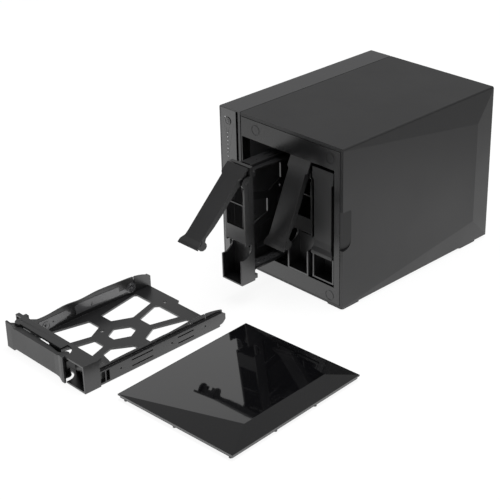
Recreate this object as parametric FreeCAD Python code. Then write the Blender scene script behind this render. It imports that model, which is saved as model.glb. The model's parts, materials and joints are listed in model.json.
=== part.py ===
import FreeCAD, Part
import math
import os

Vector = FreeCAD.Vector

# Network attached storage, in millimetres. The origin is the centre of the box's footprint at table level.
# +X points to the right side, +Y to the back and +Z up. Depths are counted back from the box's front plane.

# The box
case_width = 164.0
case_depth = 218.0
case_height = 165.5
foot_height = 2.0
right = case_width / 2
left = -right
front = -case_depth / 2
wall = 3.5
floor_wall = 1.8
edge_round = 2.0
seam_x = -52.7            # where the left shell meets the main shell
seam_gap = 0.7
facet_stand_out = 3.0     # how far the two facet corners stand out from a side
facet_corner_depth = 191.5
facet_corner_heights = (28.0, 134.5)
scoop_depth = 11.0        # finger scoop in the right front edge
scoop_heights = (62.8, 102.6)
scoop_rounding = (9.0, 2.0)   # at its lower and upper end

# The bezel and the four bays
bay_pitch = 30.4
opening = ((-50.7, 70.9), (20.8, 141.5))
bezel_right = 77.9
bezel_heights = (4.0, 161.4)
bezel_thick = 3.0
collar_thick = 1.2
collar_depth = 10.0
seat_radius = 5.3
seat_places = [(x, z) for x in (-31.8, 65.6) for z in (11.0, 152.4)]
bay_centres = [opening[0][0] + bay_pitch * (bay + 0.5) for bay in range(4)]

# The control column at the left of the front
column_right = -59.2
column_rim = 1.4
column_thick = 2.8
post = (-56.2, -53.1)
light_x = -71.4
light_top = 138.7
light_pitch = 4.05
light_count = 7
light_radius = 0.6
window_play = 0.03
power_light = (-73.9, 155.1)
power_light_radius = 0.8
power_button = (-70.3, 151.5)
power_button_radius = 4.0
copy_button = (-70.3, 46.0)
copy_button_radius = 3.2
button_travel = 1.2
button_play = 0.08
front_usb = ((-73.4, -67.2), (17.0, 31.0))

# The inside and the rear
cage_sheet = 0.8
cage_depths = (11.0, 176.5)
board_thick = 1.6
main_board_x = -75.6
rear_panel_depths = (214.5, 216.5)
fan_centre = (10.1, 83.7)
fan_size = 120.0
fan_depths = (189.5, 214.5)
fan_screw_pitch = 105.0
fan_screw_hole = 2.1
shaft_radius = 1.5
rotor_radius = 56.0
hub_radius = 20.0
blade_count = 7
blade_thick = 1.8
blade_pitch = 38.0
reset_button = (-67.5, 132.0)
reset_radius = 1.2
lock_slot = (-67.5, 147.0)
rear_ports = {
    "power_inlet": [((-72.5, -61.5), (13.0, 24.0))],
    "network_ports": [((-74.0, -60.5), (31.0, 47.0)), ((-74.0, -60.5), (50.0, 66.0))],
    "rear_usb_ports": [((-73.5, -66.5), (71.0, 85.5)), ((-73.5, -66.5), (89.0, 103.5))],
    "video_port": [((-73.2, -67.2), (108.0, 123.5))],
}

# A drive tray, in its own frame: x across its thickness, y back from its lever's face, z up from its foot
tray_width = 27.4
tray_height = 117.0
tray_foot = 23.5          # height of a fitted tray's foot above the table
tray_recess = 0.5
tray_wall = 1.8
frame_front = 0.6
box_foot = -1.2           # the latch box reaches a little below the rails
frame_face = 6.5
frame_back = 18.0
frame_top_front = 14.0    # clear of the lever's head as it swings
plate_thick = 2.0
plate_top = 111.2
plate_foot = 0.3
plate_back = (159.6, 163.7)
plate_step = 61.5
box_top = 24.3
notch_top = 38.5          # top of the finger notches over the latch box
latch_back_top = 33.0
band_foot = 40.5
window = (56.0, 97.0)
window_bar = 79.8
pivot_depth = 9.8
pivot_height = 102.6
pin_radius = 1.5
pin_play = 0.06
rail_start = 29.2
rail_end = 166.8
rail_skin = 1.2
rail_skin_height = 13.6
rail_depth_across = 4.3
rib_thick = 1.2
rib_depth = 24.2
rail_waves = {            # the soft wave of each rail's free edge, as (depth, stand-off from the plate)
    "lower": [(rail_start, 16.2), (46.0, 16.9), (68.0, 16.8), (81.0, 16.3), (98.0, 16.9), (116.0, 17.9),
              (130.0, 18.8), (148.0, 18.2), (rail_end - 1.5, 14.8)],
    "upper": [(rail_start, 18.8), (46.0, 18.9), (64.0, 20.6), (79.0, 19.6), (97.0, 20.8), (120.0, 20.4),
              (144.0, 19.2), (158.0, 16.2), (rail_end - 1.5, 12.6)],
}
drive_screw_pitch = (76.6, 61.72)
drive_screw_place = (76.1, 9.48)
drive_screw_hole = 1.9
drive_peg_depths = (38.9, 140.5)
drive_peg_height = 6.35   # above the plate
lever_foot = 25.2
lever_top = 114.2
lever_thick = 2.0
lever_inset = 2.7
lever_cheek = 1.8
lever_edge_gap = 0.4

# Where the loose and half-open pieces are. Trays are numbered from the left bay.
tray_out = {2: 61.2, 3: 3.0, 4: 0.0}
lever_open = {1: 0.0, 2: 46.0, 3: 24.0, 4: 0.0}
loose_tray_place = (20.8, front - 260.2)   # right edge and lever face of the tray that lies on the table

# The front cover, lying face up on the table
cover_width = 136.4
cover_height = 159.6
cover_overhang = 1.3      # how far the fitted cover stands past the bezel's right and lower edges
cover_corner = (47.7, front - 244.7)
cover_turn = 3.0
cover_peg = 2.2
cover_back = 4.0
cover_edge = 5.5
cover_peak = 14.3
cover_peak_x = 121.8
cover_peak_ends = (29.8, 129.0)


def box(xs, ys, zs):
    size = [high - low for low, high in (xs, ys, zs)]
    return Part.makeBox(*size, Vector(xs[0], ys[0], zs[0]))


def prism(points, axis, span):
    """A closed outline swept along one axis. Its points hold the other two coordinates, in x, y, z order."""
    place = "xyz".index(axis)
    corners = []
    for a, b in points:
        values = [a, b]
        values.insert(place, span[0])
        corners.append(Vector(*values))
    face = Part.Face(Part.makePolygon(corners + corners[:1]))
    sweep = [0, 0, 0]
    sweep[place] = span[1] - span[0]
    return face.extrude(Vector(*sweep))


def rod(axis, place, span, radius):
    """A cylinder along one axis. Place holds the other two coordinates, in x, y, z order."""
    index = "xyz".index(axis)
    values = list(place)
    values.insert(index, span[0])
    direction = [0, 0, 0]
    direction[index] = 1
    return Part.makeCylinder(radius, span[1] - span[0], Vector(*values), Vector(*direction))


def fuse(shapes):
    return shapes[0].multiFuse(shapes[1:]).removeSplitter() if len(shapes) > 1 else shapes[0]


def round_along(shape, axis, radius, keep=lambda point: True):
    """Rounds the straight edges that run along one axis and whose middle passes the test."""
    index = "xyz".index(axis)
    edges = []
    for edge in shape.Edges:
        if not isinstance(edge.Curve, Part.Line):
            continue
        middle = edge.valueAt((edge.FirstParameter + edge.LastParameter) / 2)
        if abs(edge.Curve.Direction[index]) > 0.999 and keep(middle):
            edges.append(edge)
    return shape.makeFillet(radius, edges)


def depth_span(start, end):
    return (front + start, front + end)


def write(name, shape):
    if not shape.isValid():
        raise ValueError(name + " is not a valid shape")
    shape.exportStep("parts/" + name + ".step")


# The box's shells

def side_facets(side):
    """The raised facets of one side: side is 1 for the right and -1 for the left."""
    base = side * (right - 0.5)
    edge_x = side * right
    corner_x = side * (right + facet_stand_out)
    low, high = foot_height + edge_round / 2, case_height - edge_round
    near, far = front, front + case_depth
    corner_y = front + facet_corner_depth
    names = {
        "near_low": Vector(edge_x, near, low),
        "near_high": Vector(edge_x, near, high),
        "far_low": Vector(edge_x, far, low),
        "far_high": Vector(edge_x, far, high),
        "corner_low": Vector(corner_x, corner_y, facet_corner_heights[0]),
        "corner_high": Vector(corner_x, corner_y, facet_corner_heights[1]),
    }
    for name in ("near_low", "near_high", "far_low", "far_high"):
        names["base_" + name] = Vector(base, names[name].y, names[name].z)
    faces = [
        ("near_low", "near_high", "corner_high", "corner_low"),
        ("near_high", "far_high", "corner_high"),
        ("far_high", "far_low", "corner_low", "corner_high"),
        ("far_low", "near_low", "corner_low"),
        ("near_low", "near_high", "base_near_high", "base_near_low"),
        ("near_high", "far_high", "base_far_high", "base_near_high"),
        ("far_high", "far_low", "base_far_low", "base_far_high"),
        ("far_low", "near_low", "base_near_low", "base_far_low"),
        ("base_near_low", "base_near_high", "base_far_high", "base_far_low"),
    ]
    made = [Part.Face(Part.makePolygon([names[n] for n in face + face[:1]])) for face in faces]
    return Part.Solid(Part.makeShell(made))


def shell_block(xs, side):
    """The outside of one shell, with rounded long edges and its side's facets."""
    block = box(xs, depth_span(0, case_depth), (foot_height, case_height))
    edge = side * right
    block = round_along(block, "y", edge_round, lambda p: abs(p.x - edge) < 1 and p.z > case_height / 2)
    block = round_along(block, "y", edge_round / 2, lambda p: abs(p.x - edge) < 1 and p.z < case_height / 2)
    return fuse([block, side_facets(side)])


def floor_vents(xs, count):
    """A row of slots through the floor, under the drives."""
    slot_width = 2.4
    slot_depths = (45.0, 150.0)
    step = (xs[1] - xs[0]) / (count - 1)
    slots = []
    for index in range(count):
        middle = xs[0] + index * step
        slot = box((middle - slot_width / 2, middle + slot_width / 2), depth_span(*slot_depths), (0, 8))
        slots.append(round_along(slot, "z", slot_width / 2.1))
    return slots


def finger_scoop():
    """A slanted hollow with rounded ends in the right front edge, where a finger reaches the cover."""
    slope = [(bezel_right + 0.3, front - 1), (right + 4, front - 1), (right + 4, front + scoop_depth),
             (right + 0.1, front + scoop_depth)]
    outline = box((bezel_right, right + 4), depth_span(-scoop_depth, scoop_depth), scoop_heights)
    low, high = scoop_heights
    back = front + scoop_depth
    outline = round_along(outline, "x", scoop_rounding[0], lambda p: p.z < low + 1 and p.y > back - 1)
    outline = round_along(outline, "x", scoop_rounding[1], lambda p: p.z > high - 1 and p.y > back - 1)
    return prism(slope, "z", scoop_heights).common(outline)


def main_shell():
    xs = (seam_x + seam_gap / 2, right)
    shell = shell_block(xs, 1)
    hollow = box((seam_x - 1, right - wall), depth_span(-1, case_depth + 1),
                 (foot_height + floor_wall, case_height - wall))
    return shell.cut([hollow, finger_scoop()] + floor_vents((-30.0, 60.0), 16))


def left_shell():
    xs = (left, seam_x - seam_gap / 2)
    shell = shell_block(xs, -1)
    hollow = box((left + wall, seam_x + 1), depth_span(-1, case_depth + 1),
                 (foot_height + floor_wall, case_height - wall))
    fascia_seat = box((left + column_rim, post[0]), depth_span(-1, column_thick + 0.2),
                      (foot_height + column_rim, case_height - column_rim))
    front_post = box(post, depth_span(0, 14.0), (foot_height + 0.5, case_height - 0.5))
    return fuse([shell.cut([hollow, fascia_seat]), front_post])


# The front

def front_bezel():
    """The frame round the bays' mouth, with four ring grooves over its magnets."""
    xs = (seam_x + seam_gap, bezel_right)
    plate = box(xs, depth_span(0, bezel_thick), bezel_heights)
    outside = [(low - collar_thick, high + collar_thick) for low, high in opening]
    collar = box(outside[0], depth_span(0, collar_depth), outside[1])
    mouth = box(opening[0], depth_span(-1, collar_depth + 1), opening[1])
    mouth = round_along(mouth, "y", 1.0)
    grooves = []
    for place in seat_places:
        ring = rod("y", place, depth_span(-0.1, 0.5), seat_radius)
        grooves.append(ring.cut(rod("y", place, depth_span(-1, 1), seat_radius - 0.6)))
    return fuse([plate, collar]).cut([mouth] + grooves)


def bezel_magnets():
    return Part.makeCompound([rod("y", place, depth_span(bezel_thick, bezel_thick + 2), 5.0)
                              for place in seat_places])


def light_places():
    """The row of status lights down the column, as (x, z)."""
    return [(light_x, light_top - index * light_pitch) for index in range(light_count)]


def control_column():
    gap = 0.15
    xs = (left + column_rim + gap, column_right)
    heights = (foot_height + column_rim + gap, case_height - column_rim - gap)
    face = box(xs, depth_span(0, column_thick), heights)
    inner = (foot_height + floor_wall + gap, case_height - wall - gap)
    groove_wall = box((column_right - 1.6, column_right), depth_span(0, 6.0), inner)
    groove_floor = box((column_right - 1.6, post[0] - gap), depth_span(4.5, 6.0), inner)
    column = fuse([face, groove_wall, groove_floor])
    through = depth_span(-1, column_thick + 0.5)
    holes = [rod("y", place, through, light_radius + window_play) for place in light_places()]
    holes.append(rod("y", power_light, through, power_light_radius + window_play))
    holes.append(rod("y", power_button, through, power_button_radius + button_play))
    holes.append(rod("y", copy_button, through, copy_button_radius + button_play))
    holes.append(box(grow(front_usb[0], 0.1), through, grow(front_usb[1], 0.1)))
    return column.cut(holes)


def grow(span, by):
    return (span[0] - by, span[1] + by)


def light_pipe():
    """Small windows in the column, joined by a bar behind it."""
    stems = [rod("y", place, depth_span(-0.1, column_thick + 0.4), light_radius) for place in light_places()]
    bar = box((light_x - 1.5, light_x + 1.5), depth_span(column_thick + 0.2, column_thick + 2.2),
              (light_top - light_count * light_pitch, light_top + 3.0))
    return fuse([bar] + stems)


def power_light_window():
    return rod("y", power_light, depth_span(-0.1, column_thick), power_light_radius)


def button(place, radius):
    """A round cap with a shallow ring in its face, and a flange that keeps it behind the column."""
    cap = rod("y", place, depth_span(-0.6, column_thick + 0.2), radius)
    flange = rod("y", place, depth_span(column_thick + 0.1, column_thick + 1.2), radius + 0.9)
    groove = rod("y", place, depth_span(-0.7, -0.3), radius * 0.72)
    groove = groove.cut(rod("y", place, depth_span(-1, 0), radius * 0.58))
    return fuse([cap, flange]).cut(groove)


def socket_shell(xs, zs, ys, open_at_back, deep=8.0):
    """A connector's metal shell: a block with a pocket at its open end and a tongue in the pocket."""
    rim = 0.7
    block = box(xs, ys, zs)
    pocket_ys = (ys[1] - deep, ys[1] + 1) if open_at_back else (ys[0] - 1, ys[0] + deep)
    pocket = box(grow(xs, -rim), pocket_ys, grow(zs, -rim))
    middle = (xs[0] + xs[1]) / 2
    tongue_ys = (ys[1] - deep - 0.5, ys[1] - 1.5) if open_at_back else (ys[0] + 1.5, ys[0] + deep + 0.5)
    tongue = box((middle - 0.8, middle + 0.8), tongue_ys, grow(zs, -rim - 1.5))
    return fuse([block.cut(pocket), tongue])


# The bays and the inside

def drive_cage():
    """A folded sheet round the four bays, open at the front and the back."""
    inside = (grow(opening[0], 0.3), grow(opening[1], 0.4))
    outer = box(grow(inside[0], cage_sheet), depth_span(*cage_depths), grow(inside[1], cage_sheet))
    return outer.cut(box(inside[0], depth_span(cage_depths[0] - 1, cage_depths[1] + 1), inside[1]))


def bay_guides():
    """Ribs above, below and between the trays that they slide against."""
    floor = opening[1][0] - 0.4
    roof = opening[1][1] + 0.4
    ys = depth_span(cage_depths[0], cage_depths[1] - 10.0)
    web = 0.8
    rib_width = 2.2
    rib_height = 7.0
    xs = grow(opening[0], 0.3)
    lower = [box(xs, ys, (floor, floor + web))]
    upper = [box(xs, ys, (roof - web, roof))]
    under_rails = depth_span(tray_recess + frame_back + 2, cage_depths[1] - 10.0)
    for centre in bay_centres:
        lower.append(box((centre - 4, centre + 4), under_rails, (floor, tray_foot - 0.1)))
    for centre in bay_centres[:-1]:
        middle = centre + bay_pitch / 2
        rib = (middle - rib_width / 2, middle + rib_width / 2)
        lower.append(box(rib, ys, (floor, floor + rib_height)))
        upper.append(box(rib, ys, (roof - rib_height, roof)))
    return Part.makeCompound([fuse(lower), fuse(upper)])


def backplane():
    """The board behind the bays, with air slots between its connectors."""
    ys = depth_span(cage_depths[1], cage_depths[1] + board_thick)
    board = box((opening[0][0] + 0.5, opening[0][1] - 0.5), ys, (24.0, 140.0))
    through = depth_span(cage_depths[1] - 1, cage_depths[1] + board_thick + 1)
    slots = []
    for centre in bay_centres:
        for heights in ((84.0, 106.0), (110.0, 134.0)):
            slot = box((centre - 7, centre + 9), through, heights)
            slots.append(round_along(slot, "y", 3.0))
    return board.cut(slots)


def drive_connectors():
    """One socket behind each bay, on the backplane."""
    tall = (33.0, 76.0)
    ys = depth_span(cage_depths[1] - 6.8, cage_depths[1])
    sockets = []
    for centre in bay_centres:
        x = centre - tray_width / 2 + plate_thick
        sockets.append(socket_shell((x + 1.5, x + 8.5), tall, ys, False, 4.5))
    return Part.makeCompound(sockets)


def main_board():
    return box((main_board_x, main_board_x + board_thick), depth_span(16.0, 213.0), (10.0, 152.0))


def heat_sink():
    """A finned block on the main board."""
    base_x = main_board_x + board_thick
    base_thick, fin_reach, fin_thick, fin_pitch = 3.0, 13.0, 1.8, 4.8
    start, end = 80.0, 125.0
    heights = (60.0, 105.0)
    parts = [box((base_x, base_x + base_thick), depth_span(start, end), heights)]
    for index in range(10):
        fin_start = start + fin_pitch * index
        parts.append(box((base_x, base_x + fin_reach), depth_span(fin_start, fin_start + fin_thick), heights))
    return fuse(parts)


def memory_module():
    """A memory board that lies flat over the main board, in its socket."""
    base_x = main_board_x + board_thick
    module_xs = (base_x + 2.0, base_x + 3.2)
    chip_xs = (module_xs[1], module_xs[1] + 1.0)
    chip_pitch, chip_length = 16.0, 12.0
    parts = [
        box((base_x, base_x + 4.0), depth_span(135.0, 141.0), (52.0, 126.0)),
        box(module_xs, depth_span(141.0, 171.0), (54.0, 124.0)),
    ]
    for index in range(4):
        chip_foot = 60.0 + chip_pitch * index
        parts.append(box(chip_xs, depth_span(150.0, 160.0), (chip_foot, chip_foot + chip_length)))
    return fuse(parts)


# The rear

def rear_panel():
    xs = (left + wall + 0.2, bezel_right)
    panel = box(xs, depth_span(*rear_panel_depths), bezel_heights)
    through = depth_span(rear_panel_depths[0] - 1, rear_panel_depths[1] + 1)
    cuts = [rod("y", fan_centre, through, fan_size / 2 - 3)]
    for places in rear_ports.values():
        for x_span, z_span in places:
            cuts.append(box(grow(x_span, 0.2), through, grow(z_span, 0.2)))
    cuts.append(rod("y", reset_button, through, reset_radius + button_play))
    slot_long, slot_wide = 7.0, 3.0
    cuts.append(box((lock_slot[0] - slot_wide / 2, lock_slot[0] + slot_wide / 2), through,
                    (lock_slot[1] - slot_long / 2, lock_slot[1] + slot_long / 2)))
    vent_count, vent_pitch, vent_width = 18, 6.4, 2.8
    first_vent = -44.0
    for index in range(vent_count):
        middle = first_vent + index * vent_pitch
        for zs in ((8.0, 18.0), (148.0, 158.0)):
            vent = box((middle - vent_width / 2, middle + vent_width / 2), through, zs)
            cuts.append(round_along(vent, "y", vent_width / 2.1))
    return panel.cut(cuts)


def rear_port_group(places):
    ys = depth_span(203.0, rear_panel_depths[1] + 0.3)
    return Part.makeCompound([socket_shell(x_span, z_span, ys, True) for x_span, z_span in places])


def fan_screw_places():
    half = fan_screw_pitch / 2
    return [(fan_centre[0] + i * half, fan_centre[1] + j * half) for i in (-1, 1) for j in (-1, 1)]


def fan_frame():
    """A square frame with a round bore, and a motor plate held by two crossed struts at its back."""
    half = fan_size / 2
    xs = (fan_centre[0] - half, fan_centre[0] + half)
    zs = (fan_centre[1] - half, fan_centre[1] + half)
    block = round_along(box(xs, depth_span(*fan_depths), zs), "y", 5.0)
    block = block.cut(rod("y", fan_centre, depth_span(fan_depths[0] - 1, fan_depths[1] + 1), half - 2))
    struts = []
    strut_width = 4.0
    back = depth_span(fan_depths[1] - 3.5, fan_depths[1] - 0.5)
    for angle in (45, 135):
        strut = box((1 - half, half - 1), back, (-strut_width / 2, strut_width / 2))
        strut.rotate(Vector(0, 0, 0), Vector(0, 1, 0), angle)
        strut.translate(Vector(fan_centre[0], 0, fan_centre[1]))
        struts.append(strut.common(rod("y", fan_centre, back, half - 1)))
    plate = rod("y", fan_centre, back, hub_radius)
    frame = fuse([block, plate] + struts)
    bearing = rod("y", fan_centre, depth_span(fan_depths[0], fan_depths[1] + 1), shaft_radius + pin_play)
    corner_holes = [rod("y", place, depth_span(fan_depths[0] - 1, fan_depths[1] + 1), fan_screw_hole)
                    for place in fan_screw_places()]
    return frame.cut([bearing] + corner_holes)


def fan_rotor():
    """A hub with pitched blades on a shaft that turns in the frame's motor plate."""
    blade_depths = (fan_depths[0] + 2.0, fan_depths[1] - 5.0)
    hub = rod("y", fan_centre, depth_span(*blade_depths), hub_radius)
    hollow = depth_span(blade_depths[1] - 12.0, blade_depths[1] + 1)
    hub = hub.cut(rod("y", fan_centre, hollow, hub_radius - 2))
    shaft = rod("y", fan_centre, depth_span(blade_depths[0] + 2, fan_depths[1] - 1.0), shaft_radius)
    ring = rod("y", fan_centre, depth_span(*blade_depths), rotor_radius)
    ring = ring.cut(rod("y", fan_centre, depth_span(0, case_depth), hub_radius - 1))
    middle = front + sum(blade_depths) / 2
    blades = []
    for index in range(blade_count):
        blade = box((hub_radius - 3, rotor_radius + 2), (-blade_thick / 2, blade_thick / 2), (-14.0, 14.0))
        blade.rotate(Vector(0, 0, 0), Vector(1, 0, 0), blade_pitch)
        blade.rotate(Vector(0, 0, 0), Vector(0, 1, 0), 360 / blade_count * index)
        blade.translate(Vector(fan_centre[0], middle, fan_centre[1]))
        blades.append(blade.common(ring))
    return fuse([hub, shaft] + blades)


def fan_guard():
    """Wire rings over the fan, on two crossed flat bars."""
    wire = 0.7
    bar_width = 2.0
    bar_reach = 58.5
    ring_count, first_ring, ring_pitch = 6, 10.5, 9.4
    start = rear_panel_depths[1]
    bars = depth_span(start, start + 0.8)
    x, z = fan_centre
    cross = [box((x - bar_reach, x + bar_reach), bars, (z - bar_width / 2, z + bar_width / 2)),
             box((x - bar_width / 2, x + bar_width / 2), bars, (z - bar_reach, z + bar_reach))]
    rings = []
    for index in range(ring_count):
        radius = first_ring + ring_pitch * index
        outer = rod("y", fan_centre, depth_span(start + 0.5, start + 0.5 + 2 * wire), radius + wire)
        rings.append(outer.cut(rod("y", fan_centre, depth_span(start, start + 3), radius - wire)))
    return fuse(cross + rings)


def screw_head(place, radius):
    """A pan head with a cross-shaped recess."""
    start = rear_panel_depths[1]
    head = rod("y", place, depth_span(start, start + 1.4), radius)
    recess = depth_span(start + 0.7, start + 2)
    arms = [box((place[0] - a, place[0] + a), recess, (place[1] - b, place[1] + b))
            for a, b in ((0.4, radius * 0.6), (radius * 0.6, 0.4))]
    return head.cut(arms)


def rear_screws():
    places = [(x, z) for x in (-75.0, 75.0) for z in (8.0, 157.0)]
    return Part.makeCompound([screw_head(place, 2.6) for place in places])


def fan_screws():
    return Part.makeCompound([screw_head(place, 3.0) for place in fan_screw_places()])


def feet():
    """Four flat pads near the corners of the floor."""
    pads = []
    for depths in ((1.2, 26.2), (176.7, 203.3)):
        for side in (-1, 1):
            xs = sorted((side * (right - 22.0), side * (right - 1.5)))
            pad = box(xs, depth_span(*depths), (0, foot_height))
            pads.append(round_along(pad, "z", 2.5))
    return Part.makeCompound(pads)


def reset_pin():
    """A recessed pin behind the rear panel, kept in by its flange."""
    inner_end = rear_panel_depths[0] - 3.0
    stem = rod("y", reset_button, depth_span(inner_end, rear_panel_depths[1] - 0.4), reset_radius)
    flange = rod("y", reset_button, depth_span(inner_end, inner_end + 1.2), reset_radius + 1.0)
    return fuse([stem, flange])


# One drive tray

def wavy_wall(wave, low, high):
    """A wall that stands on the plate, with a waved edge. Low and high bound its place in z."""
    curve = Part.BSplineCurve()
    curve.interpolate([Vector(x, y, low) for y, x in wave])
    first, last = wave[0], wave[-1]
    corners = [Vector(last[1], last[0], low), Vector(0, last[0], low), Vector(0, first[0], low),
               Vector(first[1], first[0], low)]
    sides = [Part.makeLine(a, b) for a, b in zip(corners, corners[1:])]
    face = Part.Face(Part.Wire([curve.toShape()] + sides))
    return face.extrude(Vector(0, 0, high - low))


def rail(outer, inward, wave):
    """One rail: an outer skin, a waved inner wall and a web between them. Inward is +1 or -1 in z."""
    def span(start, end):
        return tuple(sorted((outer + inward * start, outer + inward * end)))
    top = rail_skin_height
    inner_face = (rail_depth_across - 1.4, rail_depth_across)
    skin_outline = [(0, rail_start), (0, rail_end - 14.0), (3.0, rail_end - 3.0), (6.0, rail_end),
                    (top - 2, rail_end), (top, rail_end - 3), (top, rail_start)]
    skin = prism(skin_outline, "z", span(0, rail_skin))
    web = box((top - rib_thick, top), (rail_start, rail_end - 5), span(0.4, rail_depth_across))
    inner = wavy_wall(wave, *span(*inner_face))
    gusset_outline = [(0, frame_back - 1), (0, rail_start + 1), (wave[0][1], rail_start + 1),
                      (rib_depth, frame_back - 1)]
    gusset = prism(gusset_outline, "z", span(*inner_face))
    bar = box((top - rib_thick, top), (frame_back - 1, rail_start + 1), span(0, rail_depth_across))
    rib = box((0, top), (rib_depth, rib_depth + rib_thick), span(0, rail_depth_across))
    tab = box((rib_depth - 4, tray_width - 0.4), (frame_back - 1, frame_back + 3.6), span(0, rail_depth_across))
    return fuse([skin, web, inner, gusset, bar, rib, tab]).cut(rail_openings(span))


def rail_openings(span):
    """Slots and pin holes in a rail. Span gives z from two distances in from its outer face."""
    through_skin = span(-1, rail_skin + 0.4)
    through_inner = span(rail_depth_across - 2, rail_depth_across + 1)
    cuts = []
    for depths in ((54.3, 78.5), (108.3, 127.2)):
        for x in (4.4, 10.4):
            cuts.append(box((x - 0.55, x + 0.55), depths, through_skin))
    for depths in ((86.5, 101.5), (103.4, 129.6)):
        cuts.append(box((14.9, 15.9), depths, through_inner))
    cuts.append(box((rail_skin_height - 2, rail_skin_height + 1), (56.0, 81.0), span(1.6, 2.6)))
    cuts.append(box((6.0, 22.0), (144.0, 145.1), through_inner))
    for place in ((7.6, 41.9), (7.8, 101.0), (8.2, 141.4)):
        cuts.append(rod("z", place, through_skin, 0.8))
    return cuts


def plate_cut_outs():
    """The plate's openings, each an outline of (depth, height) points."""
    return [
        [(40.0, 103.8), (27.0, 103.8), (27.0, 79.2), (62.5, 70.2), (79.0, 79.0), (79.0, 94.4)],
        [(27.0, 70.8), (27.0, 37.5), (60.6, 48.8), (60.6, 62.8)],
        [(50.8, 38.0), (45.5, 14.0), (80.4, 14.0), (80.4, 30.0), (62.5, 41.2)],
        [(74.0, 60.0), (74.0, 51.2), (89.0, 44.4), (100.0, 50.4), (100.0, 59.4), (86.6, 66.8)],
        [(95.2, 31.8), (95.2, 14.0), (145.2, 14.0), (145.2, 31.0), (112.8, 41.2)],
        [(114.5, 63.0), (114.5, 47.8), (144.2, 39.4), (144.2, 69.8), (141.0, 72.4)],
        [(93.4, 94.6), (93.4, 79.4), (112.5, 70.2), (143.2, 79.8), (143.2, 101.4), (141.0, 103.4)],
    ]


def tray_plate():
    low_back, high_back = plate_back
    outline = [(frame_back - 1, plate_foot), (low_back, plate_foot), (low_back, plate_step - 1.5),
               (high_back, plate_step + 1.5), (high_back, plate_top), (frame_back - 1, plate_top)]
    plate = prism(outline, "x", (0, plate_thick))
    cuts = []
    for points in plate_cut_outs():
        cut = prism(points, "x", (-1, plate_thick + 1))
        cuts.append(round_along(cut, "x", 1.0))
    first_depth, first_height = drive_screw_place
    for depth in (first_depth, first_depth + drive_screw_pitch[0]):
        for height in (first_height, first_height + drive_screw_pitch[1]):
            cuts.append(rod("x", (depth, height), (-1, plate_thick + 1), drive_screw_hole))
    return plate.cut(cuts)


def frame_cheek(xs):
    """One side of the tray's front frame, with the lever's ear and the finger notch over the latch box."""
    ear = rod("x", (pivot_depth, pivot_height), xs, 5.6)
    parts = [
        box(xs, (frame_front, frame_back), (box_foot, notch_top)),
        box(xs, (frame_face, frame_back), (notch_top - 4, pivot_height - 5)),
        box(xs, (pivot_depth, frame_back), (pivot_height - 8, pivot_height + 5.6)),
        box(xs, (frame_top_front, frame_back), (pivot_height, tray_height)),
        ear,
    ]
    notch = rod("x", (3.0, box_top + 12.0), grow(xs, 1), 11.2)
    notch = notch.common(box(grow(xs, 2), (-20, 40), (box_foot, notch_top)))
    bore = rod("x", (pivot_depth, pivot_height), grow(xs, 1), pin_radius + 0.01)
    return fuse(parts).cut([notch, bore])


def tray_frame():
    inner = (tray_wall, tray_width - tray_wall)
    overlap = grow(inner, 0.4)
    latch_floor = box(overlap, (frame_front, frame_back), (box_foot, box_foot + 1.6))
    latch_back = box(overlap, (frame_back - 1.8, frame_back), (box_foot, latch_back_top))
    band = box(overlap, (frame_face, frame_face + 1.8), (band_foot, window[0]))
    bar = box(overlap, (frame_face + 0.5, frame_face + 2.5), (window_bar - 0.6, window_bar + 0.6))
    lips = []
    for middle in (tray_wall, tray_width - tray_wall):
        lip = grow((middle, middle), 0.45)
        lips.append(box(lip, (frame_face, frame_face + 1.8), (band_foot, window[1] - 2)))
    top_back = box(overlap, (frame_back - 1.8, frame_back), (window[1], tray_height))
    top = box(overlap, (frame_top_front, frame_back), (tray_height - 1.8, tray_height))
    shelf = box(overlap, (frame_back - 3.0, frame_back), (window[1] - 1.8, window[1]))
    parts = [frame_cheek((0, tray_wall)), frame_cheek((tray_width - tray_wall, tray_width)), latch_floor,
             latch_back, band, bar, top_back, top, shelf, tray_plate()]
    parts += lips + [rail(plate_foot, 1, rail_waves["lower"]), rail(plate_top, -1, rail_waves["upper"])]
    return fuse(parts)


def tray_clips():
    """Two thin strips on each rail's inner face."""
    front_strip = [(4.6, 31.0), (4.4, 46.0), (10.4, 68.0), (15.4, 62.6), (15.2, 31.0)]
    rear_strip = [(9.0, 73.5), (14.6, 72.4), (16.6, 78.0), (16.8, 95.0), (15.4, 125.6), (6.4, 125.9),
                  (8.4, 97.5), (8.0, 83.3)]
    clips = []
    for face, inward in ((plate_foot + rail_depth_across, 1), (plate_top - rail_depth_across, -1)):
        clips.append(tray_clip(face, inward, front_strip, drive_peg_depths[0], 46.8))
        clips.append(tray_clip(face, inward, rear_strip, drive_peg_depths[1], 92.0))
    return Part.makeCompound(clips)


def tray_clip(face, inward, outline, peg_depth, hole_depth):
    """A strip with a ringed seat, a peg for a drive's side hole and a small hole. Inward is +1 or -1 in z."""
    def span(start, end):
        return tuple(sorted((face + inward * start, face + inward * end)))
    thick = 0.5
    centre = (plate_thick + drive_peg_height, peg_depth)
    strip = prism(outline, "z", span(0, thick))
    seat = rod("z", centre, span(0, thick), 5.6)
    ring = rod("z", centre, span(thick - 0.1, thick + 0.5), 4.6)
    ring = ring.cut(rod("z", centre, span(0, thick + 1), 3.6))
    peg = rod("z", centre, span(0, thick + 1.4), 1.3)
    reach = (min(peg_depth, outline[0][1]), max(peg_depth, outline[3][1]))
    link = box((centre[0] - 2.0, centre[0] + 2.0), reach, span(0, thick))
    hole = rod("z", (10.0, hole_depth), span(-1, thick + 1), 0.9)
    return fuse([strip, link, seat, ring, peg]).cut(hole)


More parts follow.
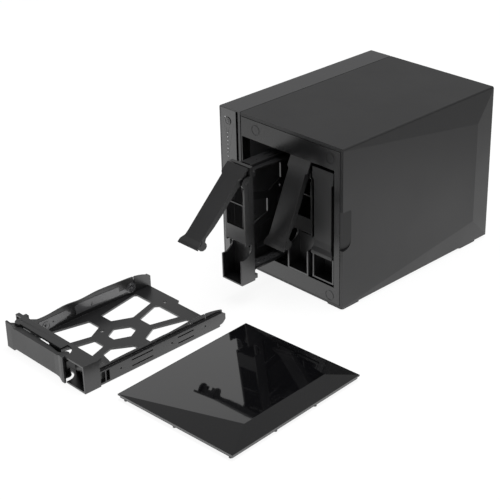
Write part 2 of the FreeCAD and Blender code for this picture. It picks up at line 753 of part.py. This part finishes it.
def lever():
    """A long handle that turns about the pin: a face plate, two cheeks, and a latch bar with two hooks."""
    edge = (lever_edge_gap, tray_width - lever_edge_gap)
    inset = (lever_inset, tray_width - lever_inset)
    profile = [(0.5, lever_top), (0, lever_top - 9), (0, 40.0), (-0.5, 33.5), (-1.7, 28.5),
               (-1.8, lever_foot), (0.2, lever_foot), (0.6, 29.5), (1.6, 35.0), (lever_thick, 41.0),
               (lever_thick, lever_top - 9), (lever_thick + 0.5, lever_top)]
    sheet = prism(profile, "x", edge)
    head, flare, tip = 100.5, 35.0, 30.0
    outline = [(edge[0], lever_foot - 1), (edge[1], lever_foot - 1), (edge[1], tip), (inset[1], flare),
               (inset[1], head), (edge[1], head + 2.5), (edge[1], lever_top + 1), (edge[0], lever_top + 1),
               (edge[0], head + 2.5), (inset[0], head), (inset[0], flare), (edge[0], tip)]
    face = sheet.common(prism(outline, "y", (-10, 20)))
    cheek_outline = [(1.0, 31.0), (3.5, 38.5), (5.4, 52.0), (6.1, 66.0), (6.1, 94.0), (7.5, 98.5),
                     (13.0, 101.0), (13.6, 104.0), (11.5, 106.3), (7.0, 108.5), (3.5, 112.5), (1.0, 112.5)]
    hook_outline = [(-0.5, 28.0), (6.0, 27.2), (8.8, 28.6), (10.4, 31.4), (10.0, 34.4), (8.2, 35.8),
                    (5.0, 36.6), (3.0, 41.0), (0.5, 41.0)]
    parts = [face]
    for height in (52.0, 64.0, 76.0, 88.0):
        rib = box((inset[0] + 1, inset[1] - 1), (1.0, 4.6), (height - 0.6, height + 0.6))
        parts.append(rib)
    latch_bar = box((inset[0] + 1, inset[1] - 1), (0.2, 8.8), (30.0, 33.5))
    middle = tray_width / 2
    parts.append(latch_bar.cut(box((middle - 3.5, middle + 3.5), (5.5, 10.0), (29.0, 34.5))))
    for xs in ((inset[0], inset[0] + lever_cheek), (inset[1] - lever_cheek, inset[1])):
        parts.append(prism(cheek_outline, "x", xs))
        parts.append(prism(hook_outline, "x", xs))
    bore = rod("x", (pivot_depth, pivot_height), (-1, tray_width + 1), pin_radius + pin_play)
    return fuse(parts).cut(bore)


def lever_pin():
    return rod("x", (pivot_depth, pivot_height), (0.2, tray_width - 0.2), pin_radius)


def lever_spring():
    """A torsion spring's coil, loose round the middle of the pin."""
    wire, coil, pitch, length = 0.45, 2.5, 1.1, 7.7
    path = Part.makeHelix(pitch, length, coil)
    circle = Part.makeCircle(wire, Vector(coil, 0, 0), Vector(0, 1, 0.07))
    sweep = Part.Wire(path).makePipeShell([Part.Wire(circle)], True, True)
    sweep.rotate(Vector(0, 0, 0), Vector(0, 1, 0), 90)
    sweep.translate(Vector((tray_width - length) / 2, pivot_depth, pivot_height))
    return sweep


# Places of the four trays

def place_in_bay(shape, bay):
    moved = shape.copy()
    x = bay_centres[bay - 1] - tray_width / 2
    moved.translate(Vector(x, front + tray_recess - tray_out[bay], tray_foot))
    return moved


def place_on_table(shape):
    """Lays a tray on its plate, with the latch box to the right and the lever's face to the front."""
    moved = shape.copy()
    moved.rotate(Vector(0, 0, 0), Vector(0, 1, 0), -90)
    moved.translate(Vector(loose_tray_place[0], loose_tray_place[1], 0))
    return moved


def open_lever(shape, degrees):
    turned = shape.copy()
    turned.rotate(Vector(0, pivot_depth, pivot_height), Vector(-1, 0, 0), degrees)
    return turned


def write_trays():
    pieces = {"frame": tray_frame(), "clips": tray_clips(), "pin": lever_pin(), "spring": lever_spring()}
    handle = lever()
    for bay in (1, 2, 3, 4):
        place = place_on_table if bay == 1 else lambda shape, bay=bay: place_in_bay(shape, bay)
        for name, shape in pieces.items():
            write("tray_%d_%s" % (bay, name), place(shape))
        write("tray_%d_lever" % bay, place(open_lever(handle, lever_open[bay])))


# The front cover

def lay_cover(shape):
    moved = shape.copy()
    moved.rotate(Vector(0, 0, 0), Vector(0, 0, 1), cover_turn)
    moved.translate(Vector(cover_corner[0], cover_corner[1], 0))
    return moved


def cover_panel():
    """A thin panel with four facets that rise to one ridge near its right edge."""
    low = [Vector(x, y, cover_back) for x, y in
           ((0, 0), (0, cover_height), (cover_width, cover_height), (cover_width, 0))]
    rim = [Vector(v.x, v.y, cover_edge) for v in low]
    ridge = [Vector(cover_peak_x, y, cover_peak) for y in cover_peak_ends]
    loops = [
        low,
        [rim[0], rim[1], ridge[1], ridge[0]],
        [rim[1], rim[2], ridge[1]],
        [rim[2], rim[3], ridge[0], ridge[1]],
        [rim[3], rim[0], ridge[0]],
    ]
    for a, b in ((0, 1), (1, 2), (2, 3), (3, 0)):
        loops.append([low[a], low[b], rim[b], rim[a]])
    faces = [Part.Face(Part.makePolygon(loop + loop[:1])) for loop in loops]
    return Part.Solid(Part.makeShell(faces))


def cover_magnet_places():
    """Over the bezel's magnet seats, in the cover's own frame."""
    cover_left = bezel_right + cover_overhang - cover_width
    return [(x - cover_left, z - bezel_heights[0] + cover_overhang) for x, z in seat_places]


def cover_back_frame():
    """The tray-like back of the cover, with pegs that fit the edge of the bezel."""
    inset = 1.5
    slab = box((inset, cover_width - inset), (inset, cover_height - inset), (cover_peg - 0.6, cover_back))
    cuts = [rod("z", place, (0, cover_back - 1.0), 4.6) for place in cover_magnet_places()]
    cuts.append(box((16.0, cover_width - 20), (22.0, cover_height - 26), (0, cover_back - 1.2)))
    pegs = []
    for x in (7.0, cover_width * 0.49, cover_width - 5.0):
        for y in (3.2, cover_height - 3.2):
            pegs.append(rod("z", (x, y), (0, cover_peg), 1.6))
    for x in (3.2, cover_width - 3.2):
        for y in (cover_height * 0.34, cover_height * 0.65):
            pegs.append(rod("z", (x, y), (0, cover_peg), 1.6))
    return fuse([slab.cut(cuts)] + pegs)


def cover_magnets():
    return Part.makeCompound([rod("z", place, (cover_back - 2.2, cover_back - 1.05), 4.5)
                              for place in cover_magnet_places()])


def write_box():
    write("main_shell", main_shell())
    write("left_shell", left_shell())
    write("front_bezel", front_bezel())
    write("bezel_magnets", bezel_magnets())
    write("control_column", control_column())
    write("status_light_pipe", light_pipe())
    write("power_light_window", power_light_window())
    write("power_button", button(power_button, power_button_radius))
    write("copy_button", button(copy_button, copy_button_radius))
    write("front_usb_port", socket_shell(front_usb[0], front_usb[1], depth_span(0.2, 14.0), False))
    write("feet", feet())


def write_inside():
    write("drive_cage", drive_cage())
    write("bay_guides", bay_guides())
    write("backplane", backplane())
    write("drive_connectors", drive_connectors())
    write("main_board", main_board())
    write("heat_sink", heat_sink())
    write("memory_module", memory_module())


def write_rear():
    write("rear_panel", rear_panel())
    for name, places in rear_ports.items():
        write(name, rear_port_group(places))
    write("fan_frame", fan_frame())
    write("fan_rotor", fan_rotor())
    write("fan_guard", fan_guard())
    write("fan_screws", fan_screws())
    write("rear_screws", rear_screws())
    write("reset_button", reset_pin())


def write_cover():
    write("cover_panel", lay_cover(cover_panel()))
    write("cover_back_frame", lay_cover(cover_back_frame()))
    write("cover_magnets", lay_cover(cover_magnets()))


os.makedirs("parts", exist_ok=True)
write_box()
write_inside()
write_rear()
write_trays()
write_cover()
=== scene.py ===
import json
import math

import bmesh
import bpy
from mathutils import Matrix, Vector


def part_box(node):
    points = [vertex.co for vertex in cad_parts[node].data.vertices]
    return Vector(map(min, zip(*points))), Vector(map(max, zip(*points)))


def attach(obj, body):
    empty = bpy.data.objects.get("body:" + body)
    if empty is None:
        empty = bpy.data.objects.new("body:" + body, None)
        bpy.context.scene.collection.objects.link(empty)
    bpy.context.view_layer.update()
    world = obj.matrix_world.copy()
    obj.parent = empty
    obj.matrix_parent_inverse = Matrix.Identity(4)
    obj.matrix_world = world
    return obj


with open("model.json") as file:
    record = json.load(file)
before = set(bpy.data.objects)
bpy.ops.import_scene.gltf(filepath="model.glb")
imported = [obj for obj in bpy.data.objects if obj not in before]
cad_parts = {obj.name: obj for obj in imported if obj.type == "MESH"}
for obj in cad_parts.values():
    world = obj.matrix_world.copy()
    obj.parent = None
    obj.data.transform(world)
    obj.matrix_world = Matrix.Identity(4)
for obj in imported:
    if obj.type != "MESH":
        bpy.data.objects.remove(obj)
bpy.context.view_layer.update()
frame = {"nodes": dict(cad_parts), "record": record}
nodes = frame["nodes"]
MM = 0.001
NOISE_LOW, NOISE_HIGH = 0.3, 0.7
FACETED_SLOTS = ("shell", "side_shell", "cover_gloss", "lever")


# Materials

def node_material(name):
    material = bpy.data.materials.new(name)
    material.use_nodes = True
    tree = material.node_tree
    shader = tree.nodes["Principled BSDF"]
    return material, tree, shader


def add_node(tree, kind, **values):
    node = tree.nodes.new(kind)
    for key, value in values.items():
        if key in node.inputs:
            node.inputs[key].default_value = value
        else:
            setattr(node, key, value)
    return node


def object_noise(tree, scale, detail):
    """Noise fixed to the object, with features about 1/scale metres wide."""
    coords = add_node(tree, "ShaderNodeTexCoord")
    noise = add_node(tree, "ShaderNodeTexNoise", Scale=scale, Detail=detail)
    tree.links.new(coords.outputs["Object"], noise.inputs["Vector"])
    return noise.outputs["Fac"]


def ranged(tree, source, low, high):
    """Noise stretched so that most of it runs from low to high."""
    node = add_node(tree, "ShaderNodeMapRange")
    node.inputs["From Min"].default_value = NOISE_LOW
    node.inputs["From Max"].default_value = NOISE_HIGH
    node.inputs["To Min"].default_value = low
    node.inputs["To Max"].default_value = high
    tree.links.new(source, node.inputs["Value"])
    return node.outputs["Result"]


def varied_colour(tree, source, colour, spread):
    ramp = add_node(tree, "ShaderNodeValToRGB")
    ramp.color_ramp.elements[0].position = NOISE_LOW
    ramp.color_ramp.elements[1].position = NOISE_HIGH
    ramp.color_ramp.elements[0].color = [c * (1 - spread) for c in colour] + [1]
    ramp.color_ramp.elements[1].color = [c * (1 + spread) for c in colour] + [1]
    tree.links.new(source, ramp.inputs["Fac"])
    return ramp.outputs["Color"]


def add_bump(tree, shader, source, height):
    bump = add_node(tree, "ShaderNodeBump")
    bump.inputs["Strength"].default_value = 1.0
    bump.inputs["Distance"].default_value = height
    tree.links.new(source, bump.inputs["Height"])
    tree.links.new(bump.outputs["Normal"], shader.inputs["Normal"])


def moulded_plastic(name, colour, roughness, grain=2600, grain_height=6e-6, specular=0.5):
    """Textured plastic: fine spark-eroded grain, slow changes of sheen and a little colour variation."""
    material, tree, shader = node_material(name)
    broad = object_noise(tree, 14, 4)
    fine = object_noise(tree, grain, 2)
    tree.links.new(varied_colour(tree, broad, colour, 0.12), shader.inputs["Base Color"])
    tree.links.new(ranged(tree, broad, roughness - 0.04, roughness + 0.05), shader.inputs["Roughness"])
    shader.inputs["Specular IOR Level"].default_value = specular
    add_bump(tree, shader, fine, grain_height)
    return material


def polished_plastic(name, colour, roughness):
    """Polished plastic with faint smears and a nearly flat skin."""
    material, tree, shader = node_material(name)
    broad = object_noise(tree, 22, 5)
    ripple = object_noise(tree, 40, 1)
    tree.links.new(varied_colour(tree, broad, colour, 0.1), shader.inputs["Base Color"])
    tree.links.new(ranged(tree, broad, roughness * 0.7, roughness * 1.5), shader.inputs["Roughness"])
    shader.inputs["Coat Weight"].default_value = 0.5
    shader.inputs["Coat Roughness"].default_value = 0.03
    add_bump(tree, shader, ripple, 4e-6)
    return material


def metal(name, colour, roughness):
    """Bare metal with a satin skin."""
    material, tree, shader = node_material(name)
    fine = object_noise(tree, 900, 4)
    shader.inputs["Metallic"].default_value = 1.0
    tree.links.new(varied_colour(tree, fine, colour, 0.12), shader.inputs["Base Color"])
    tree.links.new(ranged(tree, fine, roughness - 0.07, roughness + 0.1), shader.inputs["Roughness"])
    add_bump(tree, shader, fine, 3e-6)
    return material


def circuit_board(name):
    """Green lacquer over copper tracks, from a squared-off pattern."""
    material, tree, shader = node_material(name)
    coords = add_node(tree, "ShaderNodeTexCoord")
    tracks = add_node(tree, "ShaderNodeTexBrick", Scale=140.0)
    tracks.inputs["Color1"].default_value = (0.006, 0.055, 0.03, 1)
    tracks.inputs["Color2"].default_value = (0.004, 0.045, 0.024, 1)
    tracks.inputs["Mortar"].default_value = (0.012, 0.11, 0.05, 1)
    mapping = add_node(tree, "ShaderNodeMapping")
    mapping.inputs["Rotation"].default_value = (math.radians(90), 0, math.radians(90))
    tree.links.new(coords.outputs["Object"], mapping.inputs["Vector"])
    tree.links.new(mapping.outputs["Vector"], tracks.inputs["Vector"])
    tree.links.new(tracks.outputs["Color"], shader.inputs["Base Color"])
    add_bump(tree, shader, tracks.outputs["Fac"], 2e-5)
    shader.inputs["Roughness"].default_value = 0.35
    return material


materials = {
    "shell": moulded_plastic("case_plastic", (0.007, 0.007, 0.0075), 0.42, specular=0.33),
    "side_shell": moulded_plastic("left_case_plastic", (0.02, 0.02, 0.021), 0.36),
    "bezel": moulded_plastic("bezel_plastic", (0.008, 0.008, 0.0085), 0.25, grain_height=3e-6, specular=0.4),
    "column": polished_plastic("column_gloss", (0.008, 0.008, 0.009), 0.12),
    "light_window": polished_plastic("light_window", (0.6, 0.61, 0.62), 0.3),
    "cover_gloss": polished_plastic("cover_gloss", (0.003, 0.003, 0.0035), 0.03),
    "cover_back": moulded_plastic("cover_back_plastic", (0.03, 0.03, 0.032), 0.45),
    "magnet": metal("magnet_nickel", (0.6, 0.6, 0.58), 0.25),
    "cage": moulded_plastic("cage_paint", (0.06, 0.06, 0.062), 0.4, grain=900, grain_height=1e-5),
    "guides": moulded_plastic("guide_plastic", (0.015, 0.015, 0.016), 0.5),
    "board": circuit_board("circuit_board"),
    "connector": moulded_plastic("connector_plastic", (0.012, 0.012, 0.012), 0.5),
    "sink": metal("heat_sink_aluminium", (0.7, 0.7, 0.72), 0.4),
    "rear": moulded_plastic("rear_paint", (0.02, 0.02, 0.021), 0.5, grain=1200, grain_height=1.5e-5),
    "port": metal("port_nickel", (0.62, 0.61, 0.58), 0.3),
    "inlet": moulded_plastic("inlet_plastic", (0.01, 0.01, 0.01), 0.5),
    "fan": moulded_plastic("fan_plastic", (0.018, 0.018, 0.018), 0.45),
    "guard": moulded_plastic("guard_paint", (0.02, 0.02, 0.02), 0.35),
    "screw": metal("black_screw", (0.12, 0.12, 0.12), 0.35),
    "foot": moulded_plastic("foot_rubber", (0.03, 0.03, 0.03), 0.75, grain=1500, grain_height=2e-5),
    "reset": moulded_plastic("reset_plastic", (0.3, 0.3, 0.3), 0.5),
    "tray": moulded_plastic("tray_plastic", (0.009, 0.009, 0.0095), 0.3, grain_height=4e-6, specular=0.6),
    "lever": moulded_plastic("lever_plastic", (0.009, 0.009, 0.0095), 0.46, grain_height=4e-6),
    "clip": polished_plastic("clip_plastic", (0.07, 0.07, 0.073), 0.25),
    "mark": polished_plastic("mark_enamel", (0.1, 0.1, 0.105), 0.3),
    "contact": metal("contact_gold", (0.85, 0.6, 0.25), 0.25),
    "cable": moulded_plastic("cable_jacket", (0.01, 0.01, 0.01), 0.45),
    "steel": metal("pin_steel", (0.1, 0.1, 0.1), 0.4),
}
slots = {part["node"]: part["material_slot"] for part in frame["record"]["subparts"]}
slots["front_usb_port"] = "inlet"


def finish_cad_node(name):
    """Gives a CAD piece its material and softens sharp edges. Faceted pieces keep shallow creases."""
    piece = nodes[name]
    piece.data.materials.clear()
    piece.data.materials.append(materials[slots[name]])
    weld = piece.modifiers.new("weld", "WELD")
    weld.merge_threshold = 2e-6
    bevel = piece.modifiers.new("bevel", "BEVEL")
    bevel.width = 0.25 * MM
    bevel.segments = 2
    bevel.limit_method = "ANGLE"
    bevel.angle_limit = math.radians(35.0)
    bevel.use_clamp_overlap = True
    if slots[name] in FACETED_SLOTS:
        creases = piece.modifiers.new("creases", "EDGE_SPLIT")
        creases.split_angle = math.radians(0.8)
        creases.use_edge_sharp = False
    else:
        normals = piece.modifiers.new("normals", "WEIGHTED_NORMAL")
        normals.keep_sharp = False
        normals.weight = 90


for node_name in sorted(nodes):
    finish_cad_node(node_name)


# Small parts that the CAD leaves out

def add_piece(name, build, material, body):
    """A new piece from a bmesh that build() fills."""
    mesh = bpy.data.meshes.new(name)
    shape = bmesh.new()
    build(shape)
    bmesh.ops.recalc_face_normals(shape, faces=shape.faces[:])
    shape.to_mesh(mesh)
    shape.free()
    mesh.materials.append(materials[material])
    piece = bpy.data.objects.new(name, mesh)
    bpy.context.collection.objects.link(piece)
    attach(piece, body)


def add_blocks(name, blocks, material, body, bevel):
    """Many small blocks with softened edges, each from a low and a high corner in millimetres."""
    def build(shape):
        for low, high in blocks:
            low, high = Vector(low) * MM, Vector(high) * MM
            place = Matrix.Translation((low + high) / 2) @ Matrix.Diagonal((*(high - low), 1))
            bmesh.ops.create_cube(shape, size=1.0, matrix=place)
        bmesh.ops.bevel(shape, geom=shape.edges[:], offset=bevel * MM, segments=2, profile=0.5,
                        affect="EDGES")
    add_piece(name, build, material, body)


def close_rows(shape, rows):
    """Joins rings of points into a closed tube with flat ends."""
    steps = len(rows[0])
    for lower, upper in zip(rows, rows[1:]):
        for step in range(steps):
            after = (step + 1) % steps
            shape.faces.new((lower[step], lower[after], upper[after], upper[step]))
    shape.faces.new(rows[0])
    shape.faces.new(rows[-1])


def add_turned(shape, centre, axis, profile, steps=32):
    """A turned solid. Its profile lists (radius, distance along the axis) from end to end."""
    turn = Vector((0, 0, 1)).rotation_difference(Vector(axis)).to_matrix()
    rows = []
    for radius, along in profile:
        row = []
        for step in range(steps):
            angle = math.tau * step / steps
            point = turn @ Vector((radius * math.cos(angle), radius * math.sin(angle), along))
            row.append(shape.verts.new((Vector(centre) + point) * MM))
        rows.append(row)
    close_rows(shape, rows)


def smooth_path(points):
    """A curve through the points, six steps between each pair."""
    path = []
    padded = [points[0]] + points + [points[-1]]
    for a, b, c, d in zip(padded, padded[1:], padded[2:], padded[3:]):
        for part in range(6):
            t = part / 6
            place = []
            for i in range(3):
                slope = c[i] - a[i]
                square = 2 * a[i] - 5 * b[i] + 4 * c[i] - d[i]
                cube = 3 * b[i] - a[i] - 3 * c[i] + d[i]
                place.append(0.5 * (2 * b[i] + slope * t + square * t ** 2 + cube * t ** 3))
            path.append(Vector(place))
    return path + [Vector(points[-1])]


def add_tube(shape, points, radius, steps=10):
    """A round wire along a smooth path through the points, in millimetres."""
    path = smooth_path(points)
    across = Vector((0.3, 1.0, 0.2))
    rows = []
    for index, point in enumerate(path):
        ahead = (path[min(index + 1, len(path) - 1)] - path[max(index - 1, 0)]).normalized()
        side = ahead.cross(across).normalized()
        other = ahead.cross(side)
        row = []
        for step in range(steps):
            angle = math.tau * step / steps
            place = point + side * radius * math.cos(angle) + other * radius * math.sin(angle)
            row.append(shape.verts.new(place * MM))
        rows.append(row)
    close_rows(shape, rows)


def node_box(name):
    """A node's lowest and highest corners in millimetres."""
    low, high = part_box(name)
    return Vector(low) / MM, Vector(high) / MM


def power_mark():
    """A broken ring and a bar, raised a little on the power button's face."""
    low, high = node_box("power_button")
    centre = ((low.x + high.x) / 2, low.y, (low.z + high.z) / 2)
    radius, width, proud, steps = 1.35, 0.36, 0.12, 40
    gap = math.radians(34)

    def build(shape):
        rows = []
        for step in range(steps + 1):
            angle = math.pi / 2 + gap + (math.tau - 2 * gap) * step / steps
            row = []
            for r, y in ((radius - width / 2, 0.05), (radius - width / 2, -proud),
                         (radius + width / 2, -proud), (radius + width / 2, 0.05)):
                point = Vector((centre[0] + r * math.cos(angle), centre[1] + y,
                                centre[2] + r * math.sin(angle)))
                row.append(shape.verts.new(point * MM))
            rows.append(row)
        close_rows(shape, rows)
    add_piece("power_mark_ring", build, "mark", "power_button")
    bar = ((centre[0] - width / 2, centre[1] - proud, centre[2] + 0.35),
           (centre[0] + width / 2, centre[1] + 0.05, centre[2] + 1.85))
    add_blocks("power_mark_bar", [bar], "mark", "power_button", 0.05)


def drive_contacts():
    """Two groups of gold contacts on each face of the drive sockets' tongues."""
    low = node_box("drive_connectors")[0]
    bay_pitch = node_box("tray_4_frame")[0].x - node_box("tray_3_frame")[0].x
    first_group, contact_pitch, group_gap = 7, 1.62, 2.0
    thick, tall = 0.2, 0.8
    blocks = []
    for bay in range(4):
        middle = low.x + 3.5 + bay * bay_pitch
        for index in range(22):
            gap = group_gap if index >= first_group else 0.0
            z = low.z + 4.2 + index * contact_pitch + gap
            for face in (-0.95, 0.75):
                blocks.append(((middle + face, low.y + 1.8, z),
                               (middle + face + thick, low.y + 4.4, z + tall)))
    add_blocks("drive_contacts", blocks, "contact", "case", 0.05)


def contact_row(middle, back, foot, count, pitch, tall):
    """Contacts inside a rear port, one above the other."""
    blocks = []
    for index in range(count):
        z = foot + index * pitch
        blocks.append(((middle + 0.7, back - 6.5, z), (middle + 0.95, back - 1.9, z + tall)))
    return blocks


def port_details():
    """Contacts inside the rear ports and two small lamps on each network port."""
    usb_low, usb_high = node_box("rear_usb_ports")
    usb_middle = (usb_low.x + usb_high.x) / 2
    usb_span = 14.5
    net_low, net_high = node_box("network_ports")
    net_middle = (net_low.x + net_high.x) / 2
    net_span = 16.0
    contacts = []
    for foot in (usb_low.z, usb_high.z - usb_span):
        contacts += contact_row(usb_middle, usb_high.y, foot + 3.2, 4, 2.4, 1.0)
    lamps = []
    for foot in (net_low.z, net_high.z - net_span):
        contacts += contact_row(net_middle, net_high.y, foot + 3.6, 8, 1.15, 0.5)
        for z in (foot + 1.6, foot + net_span - 4.0):
            lamps.append(((net_low.x + 0.9, net_high.y - 1.6, z),
                          (net_low.x + 2.3, net_high.y - 0.2, z + 2.4)))
    add_blocks("port_contacts", contacts, "contact", "case", 0.04)
    add_blocks("network_lamps", lamps, "mark", "case", 0.2)


def fan_cable():
    """Three thin wires from the fan's motor plate along a strut to the frame."""
    low, high = node_box("fan_frame")
    centre = (low + high) / 2
    route = ((12.0, -4.6), (24.0, -4.4), (38.0, -4.4), (52.0, -4.4), (60.0, -5.0), (66.0, -8.0))

    def build(shape):
        for offset in (-1.1, 0.0, 1.1):
            points = []
            for reach, depth in route:
                along = reach / math.sqrt(2)
                points.append((centre.x - along + offset * 0.7, high.y + depth,
                               centre.z + along + offset * 0.7))
            add_tube(shape, points, 0.5)
    add_piece("fan_cable", build, "cable", "case")


def board_parts():
    """Chips and capacitors on the main board, clear of the heat sink and the memory."""
    low, high = node_box("main_board")
    face = high.x
    chips = []
    chip_places = ((22, 30, 12), (22, 96, 9), (44, 44, 16), (46, 112, 10), (66, 24, 10), (96, 26, 14),
                   (100, 122, 12), (150, 26, 12), (176, 96, 9))
    for depth, foot, size in chip_places:
        y = low.y + depth
        chips.append(((face - 0.05, y, foot), (face + 1.4, y + size, foot + size)))
    add_blocks("board_chips", chips, "connector", "case", 0.15)

    can_places = ((30, 70), (38, 70), (30, 80), (70, 70), (70, 88), (130, 24), (130, 34), (178, 78))
    profile = ((3.0, -0.05), (3.1, 0.4), (3.1, 0.9), (2.8, 1.2), (3.1, 1.5), (3.1, 6.6), (2.8, 7.0),
               (1.4, 6.9))

    def build(shape):
        for depth, foot in can_places:
            add_turned(shape, (face, low.y + depth, foot), (1, 0, 0), profile)
    add_piece("board_capacitors", build, "sink", "case")


power_mark()
drive_contacts()
port_details()
fan_cable()
board_parts()


# Camera, floor and light

def photo_camera():
    """The photo's view."""
    azimuth = math.radians(47.0)
    elevation = math.radians(27.12)
    roll = math.radians(-1.51)
    place = Vector((0.86208, -0.95376, 0.65477))
    ahead = Vector((-math.sin(azimuth) * math.cos(elevation), math.cos(azimuth) * math.cos(elevation),
                    -math.sin(elevation)))
    across = ahead.cross(Vector((0, 0, 1))).normalized()
    above = across.cross(ahead)
    right = across * math.cos(roll) + above * math.sin(roll)
    up = above * math.cos(roll) - across * math.sin(roll)
    data = bpy.data.cameras.new("camera")
    data.lens = 100.31
    data.sensor_width = 36.0
    data.clip_end = 20.0
    camera = bpy.data.objects.new("camera", data)
    bpy.context.collection.objects.link(camera)
    axes = Matrix((right, up, -ahead)).transposed().to_4x4()
    camera.matrix_world = Matrix.Translation(place) @ axes
    bpy.context.scene.camera = camera


def floor():
    """A white paper floor. In reflections it glows instead, a painted reflection: glossy parts see it bright
    near the box and dimmer further off, with no shadows.
    """
    mesh = bpy.data.meshes.new("floor")
    size = 6.0
    corners = [(-size, -size, 0), (size, -size, 0), (size, size, 0), (-size, size, 0)]
    mesh.from_pydata(corners, [], [(0, 1, 2, 3)])
    plane = bpy.data.objects.new("floor", mesh)
    bpy.context.collection.objects.link(plane)
    material, tree, paper = node_material("floor_paper")
    tree.links.new(varied_colour(tree, object_noise(tree, 3, 2), (0.88, 0.88, 0.88), 0.01),
                   paper.inputs["Base Color"])
    paper.inputs["Roughness"].default_value = 0.9
    paper.inputs["Specular IOR Level"].default_value = 0.1
    path = add_node(tree, "ShaderNodeLightPath")
    seen = add_node(tree, "ShaderNodeEmission", Color=(1, 1, 1, 1), Strength=1.03)
    seen_share = add_node(tree, "ShaderNodeMath", operation="MULTIPLY")
    seen_share.inputs[1].default_value = 0.88
    tree.links.new(path.outputs["Is Camera Ray"], seen_share.inputs[0])
    seen_mix = add_node(tree, "ShaderNodeMixShader")
    tree.links.new(seen_share.outputs["Value"], seen_mix.inputs["Fac"])
    tree.links.new(paper.outputs["BSDF"], seen_mix.inputs[1])
    tree.links.new(seen.outputs["Emission"], seen_mix.inputs[2])
    # Glossy rays see an emission here, a painted reflection of lit paper, set by distance and not by the
    # lamps.
    reflected = add_node(tree, "ShaderNodeEmission")
    tree.links.new(painted_floor_reflection(tree), reflected.inputs["Strength"])
    reflected_mix = add_node(tree, "ShaderNodeMixShader")
    tree.links.new(path.outputs["Is Glossy Ray"], reflected_mix.inputs["Fac"])
    tree.links.new(seen_mix.outputs["Shader"], reflected_mix.inputs[1])
    tree.links.new(reflected.outputs["Emission"], reflected_mix.inputs[2])
    tree.links.new(reflected_mix.outputs["Shader"], tree.nodes["Material Output"].inputs["Surface"])
    material.cycles.emission_sampling = "NONE"
    mesh.materials.append(material)
    plane.location.z = -0.0002


def painted_floor_reflection(tree):
    """The glow that the floor shows in reflections, a painted reflection, by distance from the middle of the
    layout.
    """
    reach = 2.0
    brightest = 2.0
    coords = add_node(tree, "ShaderNodeTexCoord")
    offset = add_node(tree, "ShaderNodeVectorMath", operation="ADD")
    offset.inputs[1].default_value = (0.06, 0.15, 0)
    tree.links.new(coords.outputs["Object"], offset.inputs[0])
    distance = add_node(tree, "ShaderNodeVectorMath", operation="LENGTH")
    tree.links.new(offset.outputs["Vector"], distance.inputs[0])
    share = add_node(tree, "ShaderNodeMath", operation="MULTIPLY")
    share.inputs[1].default_value = 1 / reach
    tree.links.new(distance.outputs["Value"], share.inputs[0])
    ramp = add_node(tree, "ShaderNodeFloatCurve")
    curve = ramp.mapping.curves[0]
    for point, (place, level) in zip(curve.points, ((0.0, 0.95), (1.0, 0.5))):
        point.location = (place, level)
    levels = ((0.05, 0.88), (0.1, 0.72), (0.17, 0.72), (0.24, 0.58), (0.36, 0.36), (0.6, 0.4))
    for place, level in levels:
        curve.points.new(place, level)
    ramp.mapping.update()
    tree.links.new(share.outputs["Value"], ramp.inputs["Value"])
    brightness = add_node(tree, "ShaderNodeMath", operation="MULTIPLY")
    brightness.inputs[1].default_value = brightest
    tree.links.new(ramp.outputs["Value"], brightness.inputs[0])
    return brightness.outputs["Value"]


def area_light(name, place, aim, size, power):
    data = bpy.data.lights.new(name, "AREA")
    data.shape = "RECTANGLE"
    data.size, data.size_y = size
    data.energy = power
    lamp = bpy.data.objects.new(name, data)
    bpy.context.collection.objects.link(lamp)
    turn = (Vector(aim) - Vector(place)).to_track_quat("-Z", "Y")
    lamp.matrix_world = Matrix.Translation(Vector(place)) @ turn.to_matrix().to_4x4()


def studio():
    """A soft studio: a brighter band some way above the horizon, dim in front, and two lamps."""
    world = bpy.data.worlds.new("studio")
    world.use_nodes = True
    tree = world.node_tree
    coords = add_node(tree, "ShaderNodeTexCoord")
    split = add_node(tree, "ShaderNodeSeparateXYZ")
    tree.links.new(coords.outputs["Generated"], split.inputs["Vector"])
    stops = ((0.0, 0.3), (0.3, 0.4), (0.4, 0.7), (0.46, 0.7), (0.56, 0.4), (0.75, 0.4), (0.9, 0.3),
             (1.0, 0.25))
    by_height = level_ramp(tree, split.outputs["Z"], stops)
    backwards = add_node(tree, "ShaderNodeMapRange")
    backwards.inputs["From Min"].default_value = -0.6
    backwards.inputs["From Max"].default_value = 0.2
    backwards.inputs["To Min"].default_value = 0.45
    tree.links.new(split.outputs["Y"], backwards.inputs["Value"])
    level = add_node(tree, "ShaderNodeMath", operation="MULTIPLY")
    tree.links.new(by_height, level.inputs[0])
    tree.links.new(backwards.outputs["Result"], level.inputs[1])
    path = add_node(tree, "ShaderNodeLightPath")
    mix = add_node(tree, "ShaderNodeMixRGB")
    mix.inputs["Color2"].default_value = (1, 1, 1, 1)
    tree.links.new(path.outputs["Is Camera Ray"], mix.inputs["Fac"])
    tree.links.new(level.outputs["Value"], mix.inputs["Color1"])
    tree.links.new(mix.outputs["Color"], tree.nodes["Background"].inputs["Color"])
    bpy.context.scene.world = world
    area_light("top_light", (0.2, 0.1, 2.2), (0, -0.1, 0), (1.6, 1.6), 56)
    area_light("left_light", (-1.3, -1.9, 0.7), (-0.1, -0.15, 0.08), (0.8, 0.8), 6)
    bpy.context.scene.view_settings.view_transform = "Standard"


def level_ramp(tree, source, stops):
    """Grey levels against a value from 0 to 1."""
    ramp = add_node(tree, "ShaderNodeValToRGB")
    ramp.color_ramp.elements.remove(ramp.color_ramp.elements[1])
    for index, (place, level) in enumerate(stops):
        stop = ramp.color_ramp.elements[0] if index == 0 else ramp.color_ramp.elements.new(place)
        stop.position = place
        stop.color = (level, level, level, 1)
    tree.links.new(source, ramp.inputs["Fac"])
    return ramp.outputs["Color"]


photo_camera()
floor()
studio()
